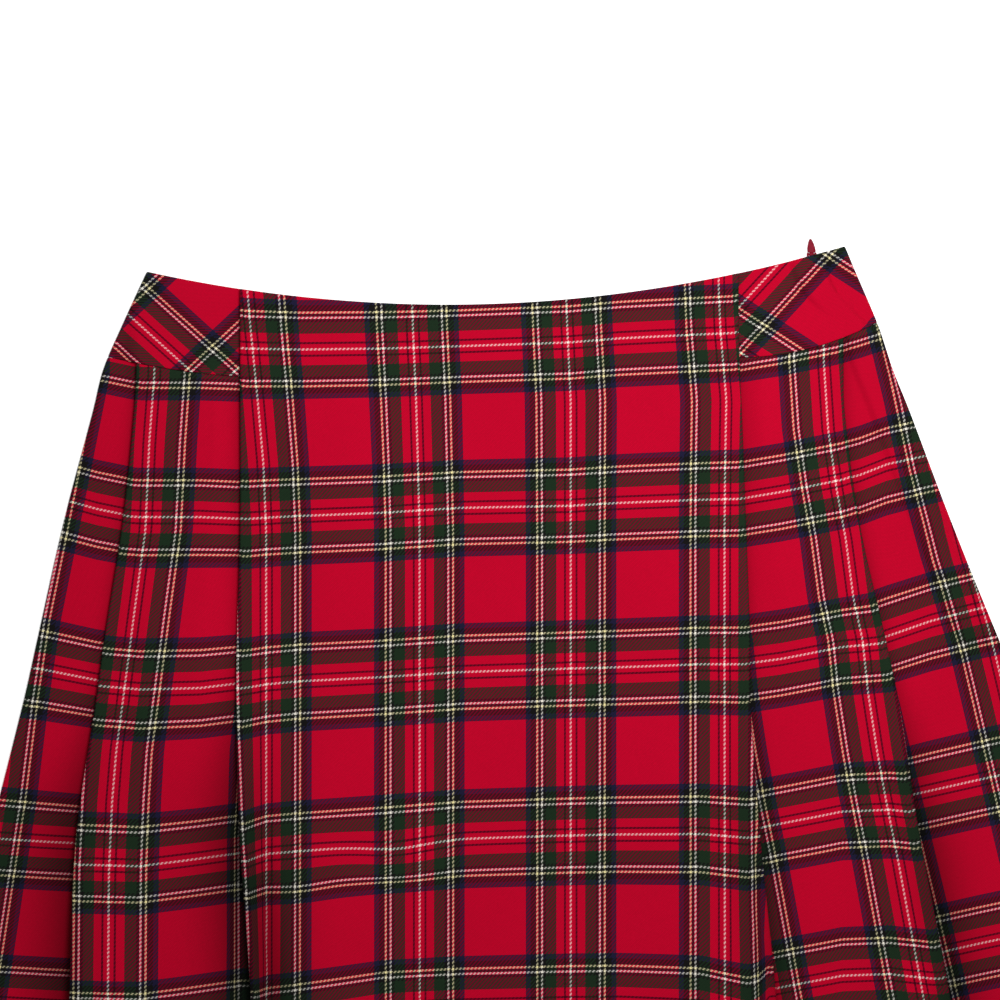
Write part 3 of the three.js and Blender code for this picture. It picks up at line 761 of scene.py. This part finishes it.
CENTRE_ROWS = (
    (-124, 49.2, 131.6, 213.2, 298.5, 381.5), (-117, 49.3, 131.2, 212.2, 295, 378),
    (-110, 49.4, 130.7, 211, 292.5, 375.5), (-94, 49.7, 129.9, 209.5, 291.1, 373.4),
    (-55, 49.2, 128.4, 207.6, 288.3, 367.6), (-17, 48, 126, 205.2, 285.6, 366),
    (36, 46.2, 125, 203.5, 284, 364.9), (60, 44.3, 123.6, 202.8, 283.4, 364.6),
    (99, 42.4, 122.1, 201.3, 283, 366), (122, 41.4, 121.6, 201.3, 284.9, 371.4),
    (127, 41.2, 121.4, 201, 284, 370), (134, 41, 121, 199.5, 281, 362),
)
# Two places where the rows sag: x, below, the reach to each side, up and down, and how far.
CENTRE_SAGS = ((-47, 293, 20, 13, 2.7), (-94, 308, 14, 12, 1.4))


def sagged(x, below):
    """Where each point of the weave was before the rows sagged."""
    for middle, middle_below, reach, reach_down, sag in CENTRE_SAGS:
        away = ((x - middle) / reach) ** 2 + ((below - middle_below) / reach_down) ** 2
        below = below - sag * np.exp(-away)
    return below


def centre_strip(across, below):
    left = section("inner_left", below)
    right = section("inner_right", below)
    depth = section("inner_depth", below)
    x = mix(left + FOLD_CLEAR + 1, right - FOLD_CLEAR - 1, across)
    in_left = soft(x - left - depth, *CENTRE_SINK)
    in_right = soft(right - depth - x, *CENTRE_SINK)
    return x, mix(level(3, below), level(1, below), np.minimum(in_left, in_right))


strips = [
    return_strip("inner_left", "inner_depth", 1), fold_strip("inner_left", 1), (120, centre_strip),
    fold_strip("inner_right", -1), return_strip("inner_right", "inner_depth", -1),
]
x, below, z = lay_out(
    strips,
    waist,
    lambda x: CENTRE_HEM[0] + CENTRE_HEM[1] * x + CENTRE_HEM[2] * x * x,
    rows_down(150, 575),
)
repeats = (
    count_across(CENTRE_LINES, x, below, REPEAT),
    rows_count(CENTRE_ROWS, x, sagged(x, below)),
)
repeats = run_on(repeats, x, z, BEHIND, x.shape[1] - 1 - BEHIND, REPEAT)
z = z + creased(x, below)
shaded = 0 * x
for side, sign in (("left", 1), ("right", -1)):
    z = z + puff("inner_" + side, sign, x, below, CENTRE_PUFF)
    shaded = shaded + rim_shade("inner_" + side, sign, x, below)
centre = cloth_shell("centre_panel", x, below, z, repeats, shaded)
centre.data.materials.append(tartan)
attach(centre, "skirt")
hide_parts("front_centre_panel")

# Hip yokes, left and right. Cut on the bias from the same twill, from the waist to the curved
# hip seam: the check crosses them at an angle, and each runs in behind the centre panel's fold.
YOKE_UNDERLAP = 12.0  # a yoke runs in this far behind the centre panel's fold
YOKE_EASE = 34.0  # height over which a yoke rises onto the pleat below it
YOKE_RISE = (-7.0, 1.0)  # and where it rises, counted inwards from the outer fold
# Where two pale pairs of lines cross on each yoke. Then, for the lines that run down to the
# right and for those that run up: their slope, their side of the fine white line, and the
# length of a repeat.
YOKE_CROSSES = {
    "left": (-136.1, 49.2, (0.904, -1, 73.5), (-0.94, -1, 73.5)),
    "right": (129.1, 38.6, (0.655, -1, 79.0), (-1.09, 1, 72.0)),
}
PALE_PAIR = 32.5 / (2 * HALF_CHECK)  # from the fine white line to the middle of a pale pair


def yoke_strip(side, sign):
    def place(across, below):
        if sign < 0:
            across = 1 - across
        fold = section("outer_" + side, below)
        under = section("inner_" + side, below)
        start = section("side_" + side, below) + sign * FLAT_FROM
        x = mix(start, under + sign * YOKE_UNDERLAP, across)
        rise = soft(sign * (x - fold), *YOKE_RISE)
        depth = section("outer_depth", below)
        fall = 1 - soft(sign * x, sign * fold + depth + RAMP_PAST, sign * under - RAMP_SHORT)
        seam = yoke_seam(side, x)
        near = soft(below, seam - YOKE_EASE, seam - 1)
        lift = zip_lift(x, below) if side == "right" else 0 * below
        on_pleat = 2 * pitch(below) * np.minimum(rise, fall) * near
        return x, LOWEST_FRONT + np.maximum(on_pleat, lift)

    return 60, place


for side, sign in (("left", 1), ("right", -1)):
    strips = [side_turn("side_" + side, sign), yoke_strip(side, sign)][::sign]
    x, below, z = lay_out(
        strips, waist, lambda x: yoke_seam(side, x) - SEAM_CUT, rows_down(34, 45)
    )
    cross_x, cross_below, *families = YOKE_CROSSES[side]
    repeats = []
    for slope, line_side, repeat in families:
        away = (below - cross_below - slope * (x - cross_x)) / math.hypot(1, slope)
        repeats.append(away / repeat + line_side * PALE_PAIR)
    made = cloth_shell("yoke_" + side, x, below, z + creased(x, below), repeats)
    made.data.materials.append(tartan)
    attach(made, "skirt")
    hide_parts("hip_yoke_" + side)

# Zip tapes. Two woven red tapes, closed, inside the opening at the wearer's left side. The
# solid from the frame keeps its shape and gets the finish of a herringbone tape.
RIB = 0.0009  # width of one rib of the weave


def zip_tape_weave():
    made, shader, shade = start_material("zip_tape_weave", Specular_IOR_Level=0.25)
    where = shade.node("ShaderNodeTexCoord", output=3)
    across, down = (shade.node("ShaderNodeSeparateXYZ", None, {0: where}, output=k) for k in (0, 1))
    zigzag = across.math("PINGPONG", across, RIB)
    wave = shade.math("SINE", (zigzag + down) * (2 * math.pi / (RIB / 2))) * 0.5 + 0.5
    # The red is painted lighter on the top of each rib and darker between ribs, as shade of the
    # weave.
    red = shade.node("ShaderNodeValToRGB", {"stops": [
        (0.0, (0.23, 0.004, 0.018)), (1.0, (0.42, 0.010, 0.036)),
    ]}, {0: wave})
    feed(shader, red, "Base Color")
    feed(shader, wave * 0.1 + 0.75, "Roughness")
    bump = shade.node(
        "ShaderNodeBump", None, {"Strength": 0.3, "Distance": 0.1 * MM, "Height": wave}
    )
    feed(shader, bump, "Normal")
    return made


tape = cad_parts["zip_tape"]
tape_weave = zip_tape_weave()
for slot in tape.material_slots:
    slot.material = tape_weave

# Zip teeth. A moulded nylon coil, closed, sewn along the middle of the tapes: one turn after
# another bridges the rib where the two tapes meet, from the slider down to the zip's end.
TEETH_FROM = 15.2  # just below the slider
TEETH_SHORT = 1.5  # they end this far above the end of the tapes
RIB_TOP = 2.9  # height of the rib of the tapes
TEETH_SIZES = {"Pitch": 0.95 * MM, "Half Width": 1.3 * MM, "Arch": 0.34 * MM, "Thread": 0.21 * MM}


def mottled(name, scale, detail, dark, light, rough, gloss):
    """A smooth finish, faintly mottled between a dark and a light tone."""
    made, shader, shade = start_material(name, Specular_IOR_Level=gloss)
    where = shade.node("ShaderNodeTexCoord", output=3)
    tone = shade.node(
        "ShaderNodeTexNoise", None, {"Vector": where, "Scale": scale, "Detail": detail}
    )
    colour = shade.node("ShaderNodeValToRGB", {"stops": [(0.3, dark), (0.7, light)]}, {0: tone})
    feed(shader, colour, "Base Color")
    feed(shader, tone * 0.2 + rough, "Roughness")
    return made


def teeth_tree(material):
    """Node tree that bridges a path with arched bars, one at every pitch."""
    tree = bpy.data.node_groups.new("zip_teeth", "GeometryNodeTree")
    tree.interface.new_socket("Geometry", in_out="INPUT", socket_type="NodeSocketGeometry")
    for name in TEETH_SIZES:
        tree.interface.new_socket(name, in_out="INPUT", socket_type="NodeSocketFloat")
    tree.interface.new_socket("Geometry", in_out="OUTPUT", socket_type="NodeSocketGeometry")
    given = tree.nodes.new("NodeGroupInput")

    def node(kind, inputs, **settings):
        made = tree.nodes.new(kind)
        for name, value in settings.items():
            setattr(made, name, value)
        for key, value in inputs.items():
            if isinstance(value, bpy.types.NodeSocket):
                tree.links.new(value, made.inputs[key])
            else:
                made.inputs[key].default_value = value
        return made

    lower = node("ShaderNodeMath", {0: given.outputs["Arch"], 1: -1.0}, operation="MULTIPLY")
    left = node("ShaderNodeMath", {0: given.outputs["Half Width"], 1: -1.0}, operation="MULTIPLY")
    start = node("ShaderNodeCombineXYZ", {"X": left.outputs[0], "Z": lower.outputs[0]})
    peak = node("ShaderNodeCombineXYZ", {"Z": given.outputs["Arch"]})
    end = node("ShaderNodeCombineXYZ", {"X": given.outputs["Half Width"], "Z": lower.outputs[0]})
    arch = node("GeometryNodeCurveQuadraticBezier", {
        "Resolution": 6, "Start": start.outputs[0], "Middle": peak.outputs[0],
        "End": end.outputs[0],
    })
    thread = node(
        "GeometryNodeCurvePrimitiveCircle", {"Resolution": 6, "Radius": given.outputs["Thread"]}
    )
    bar = node("GeometryNodeCurveToMesh", {
        "Curve": arch.outputs[0], "Profile Curve": thread.outputs[0], "Fill Caps": True,
    })
    path = node("GeometryNodeMeshToCurve", {"Mesh": given.outputs["Geometry"]})
    spaced = node(
        "GeometryNodeCurveToPoints",
        {"Curve": path.outputs[0], "Length": given.outputs["Pitch"]}, mode="LENGTH",
    )
    facing = node(
        "FunctionNodeAlignRotationToVector", {"Vector": spaced.outputs["Tangent"]}, axis="Y"
    )
    bars = node("GeometryNodeInstanceOnPoints", {
        "Points": spaced.outputs["Points"], "Instance": bar.outputs[0],
        "Rotation": facing.outputs[0],
    })
    real = node("GeometryNodeRealizeInstances", {"Geometry": bars.outputs[0]})
    dressed = node("GeometryNodeSetMaterial", {"Geometry": real.outputs[0], "Material": material})
    result = tree.nodes.new("NodeGroupOutput")
    tree.links.new(dressed.outputs[0], result.inputs["Geometry"])
    return tree


def grown(name, path, tree, sizes):
    """Evaluates the tree on a path of points and keeps the result as a plain mesh."""
    line = bpy.data.meshes.new(name + "_path")
    line.from_pydata(path, [(i, i + 1) for i in range(len(path) - 1)], [])
    carrier = add_object(name + "_path", line)
    modifier = carrier.modifiers.new("grow", "NODES")
    modifier.node_group = tree
    for item in tree.interface.items_tree:
        if item.in_out == "INPUT" and item.name in sizes:
            modifier[item.identifier] = sizes[item.name]
    evaluated = carrier.evaluated_get(bpy.context.evaluated_depsgraph_get())
    mesh = bpy.data.meshes.new_from_object(evaluated)
    carrier.modifiers.remove(modifier)
    bpy.data.objects.remove(carrier)
    return add_object(name, mesh)


path = [
    (ORIGIN_X + float(zip_middle(below)) * MM, ORIGIN_Y - below * MM, RIB_TOP * MM)
    for below in np.linspace(TEETH_FROM, ZIP_LENGTH - TEETH_SHORT, 60)
]
nylon = mottled(
    "zip_nylon", scale=700.0, detail=2.0, rough=0.35, gloss=0.3,
    dark=(0.30, 0.006, 0.026), light=(0.40, 0.011, 0.040),
)
teeth = grown("zip_teeth", path, teeth_tree(nylon), TEETH_SIZES)
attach(teeth, "skirt")

# Slider and pull. Die-cast and coated in deep red to match the tape; the pull is a small
# pointed leaf that hangs on the slider's cross pin and stands up past the waist edge.
enamel = mottled(
    "coated_metal", scale=1500.0, detail=3.0, rough=0.45, gloss=0.08,
    dark=(0.14, 0.002, 0.010), light=(0.21, 0.004, 0.019),
)
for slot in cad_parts["zip_slider"].material_slots:
    slot.material = enamel

PIN_BELOW = 3.8  # the pin lies this far below the highest point of the waist
PIN_HEIGHT = 2.4
AROUND = 20  # points round the leaf and round the knuckle
KNUCKLE_RADIUS = 1.3
KNUCKLE_BORE = 0.85
KNUCKLE_HALF = 1.05  # half its width
KNUCKLE_EASE = 0.12  # its rims are eased by this much
LEAF_THICKNESS = 1.0
LEAF_THINS = {"tip": 0.45, "over": 1.6}  # the share left at its tip, and how fast it grows
LEAF_ROUND = (0.7, 0.8)  # its section across and up: 1 is an oval, and 0 a box
LEAF_LEAN = -0.09  # the leaf leans a little to the left on its pin
LEAN_FROM = 1.2  # and is centred on it this far out
# Half the leaf's width at places out from the pin, from its neck to its tip.
LEAF = np.array([
    (0.9, 1.02), (1.0, 1.05), (1.02, 1.84), (1.12, 1.97), (1.6, 2.03), (2.6, 1.98), (3.4, 1.86),
    (4.3, 1.66), (5.2, 1.42), (6.0, 1.16), (6.7, 0.88), (7.2, 0.6), (7.5, 0.36), (7.65, 0.16),
])


def ring_wall(rings):
    """Quads between closed rings of points, each ring joined to the next and the last to the
    first."""
    quads = []
    for i, ring in enumerate(rings):
        after = rings[(i + 1) % len(rings)]
        for j in range(len(ring)):
            k = (j + 1) % len(ring)
            quads.append((ring[j], ring[k], after[k], after[j]))
    return quads


def pull_mesh():
    points = []
    faces = []
    turns = [2 * math.pi * k / AROUND for k in range(AROUND)]
    # The leaf: a full oval section at each place, closed at both ends.
    rings = []
    for out, half_width in LEAF:
        rings.append(range(len(points), len(points) + AROUND))
        share = min(1, LEAF_THINS["tip"] + half_width / LEAF_THINS["over"])
        for turn in turns:
            side, height = math.cos(turn), math.sin(turn)
            side = math.copysign(abs(side) ** LEAF_ROUND[0], side)
            height = math.copysign(abs(height) ** LEAF_ROUND[1], height)
            points.append((
                half_width * side + LEAF_LEAN * (out - LEAN_FROM),
                out,
                LEAF_THICKNESS / 2 * share * height,
            ))
    faces += ring_wall(rings[::-1])[:-AROUND]
    faces += [tuple(rings[0]), tuple(reversed(rings[-1]))]
    # The knuckle: a short tube round the pin, with eased rims.
    eased_radius = KNUCKLE_RADIUS - KNUCKLE_EASE
    eased_half = KNUCKLE_HALF - KNUCKLE_EASE
    profile = [
        (eased_radius, -KNUCKLE_HALF), (KNUCKLE_RADIUS, -eased_half),
        (KNUCKLE_RADIUS, eased_half), (eased_radius, KNUCKLE_HALF),
        (KNUCKLE_BORE, KNUCKLE_HALF), (KNUCKLE_BORE, -KNUCKLE_HALF),
    ]
    rings = []
    for radius, along in profile:
        rings.append(range(len(points), len(points) + AROUND))
        points += [(along, radius * math.cos(turn), radius * math.sin(turn)) for turn in turns]
    faces += ring_wall(rings)
    mesh = bpy.data.meshes.new("pull")
    place = (ORIGIN_X + SLIDER_ACROSS * MM, ORIGIN_Y - PIN_BELOW * MM, PIN_HEIGHT * MM)
    mesh.from_pydata(
        [[place[k] + point[k] * MM for k in range(3)] for point in points], [], faces
    )
    mesh.polygons.foreach_set("use_smooth", np.ones(len(mesh.polygons), bool))
    mesh.set_sharp_from_angle(angle=math.radians(45))
    return mesh


pull = add_object("pull", pull_mesh())
pull.data.materials.append(enamel)
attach(pull, "pull")
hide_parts("zip_pull")

# Table, light and camera. A pale table top under soft studio light, seen from straight above
# with the waist across the upper part of the picture.
PICTURE_SCALE = 0.4828  # millimetres of the skirt to one pixel of the picture
PICTURE_CENTRE = (2.4, 122.2)  # the pattern's place at the middle of the picture
PICTURE_PIXELS = 1000
CAMERA_HEIGHT = 2.6
SENSOR = 36.0


def table_top():
    made, shader, shade = start_material(
        "table_top", Roughness=0.9, Specular_IOR_Level=0.1,
        Emission_Color=(1, 1, 1, 1), Emission_Strength=0.35,
    )
    where = shade.node("ShaderNodeTexCoord", output=3)
    grain = shade.node("ShaderNodeTexNoise", None, {"Vector": where, "Scale": 60.0, "Detail": 3.0})
    pale = shade.node("ShaderNodeValToRGB", {"stops": [
        (0.0, (0.93, 0.93, 0.93)), (1.0, (0.96, 0.96, 0.96)),
    ]}, {0: grain})
    feed(shader, pale, "Base Color")
    return made


TABLE_REACH = 3.0
TABLE_TOP = -0.05 * MM  # just clear of the back's flat underside
corners = [(-1, -1), (1, -1), (1, 1), (-1, 1)]
floor_mesh = bpy.data.meshes.new("table")
floor_mesh.from_pydata(
    [(x * TABLE_REACH, y * TABLE_REACH, TABLE_TOP) for x, y in corners], [], [(0, 1, 2, 3)]
)
floor = add_object("table", floor_mesh)
floor_mesh.materials.append(table_top())


LIT_PLACE = (0, 0.15, 0)  # the lights face this place on the skirt


def area_light(name, place, size, power):
    data = bpy.data.lights.new(name, "AREA")
    data.size = size
    data.energy = power
    light = add_object(name, data)
    light.location = place
    aim = np.array(LIT_PLACE) - place
    light.rotation_euler = (
        math.atan2(math.hypot(aim[0], aim[1]), -aim[2]), 0, math.atan2(aim[1], aim[0]) - math.pi / 2
    )


area_light("key", (0.11, 0.36, 0.62), 0.35, 4.7)
area_light("fill", (1.5, -0.8, 2.4), 2.2, 6)

world = bpy.data.worlds.new("studio")
world.use_nodes = True
world.node_tree.nodes["Background"].inputs["Color"].default_value = (1, 1, 1, 1)
world.node_tree.nodes["Background"].inputs["Strength"].default_value = 0.35
bpy.context.scene.world = world
bpy.context.scene.view_settings.view_transform = "Standard"

camera_data = bpy.data.cameras.new("camera")
camera_data.sensor_width = SENSOR
camera_data.lens = SENSOR * CAMERA_HEIGHT / (PICTURE_PIXELS * PICTURE_SCALE * MM)
camera = add_object("camera", camera_data)
camera.location = (
    ORIGIN_X + PICTURE_CENTRE[0] * MM, ORIGIN_Y - PICTURE_CENTRE[1] * MM, CAMERA_HEIGHT
)
bpy.context.scene.camera = camera
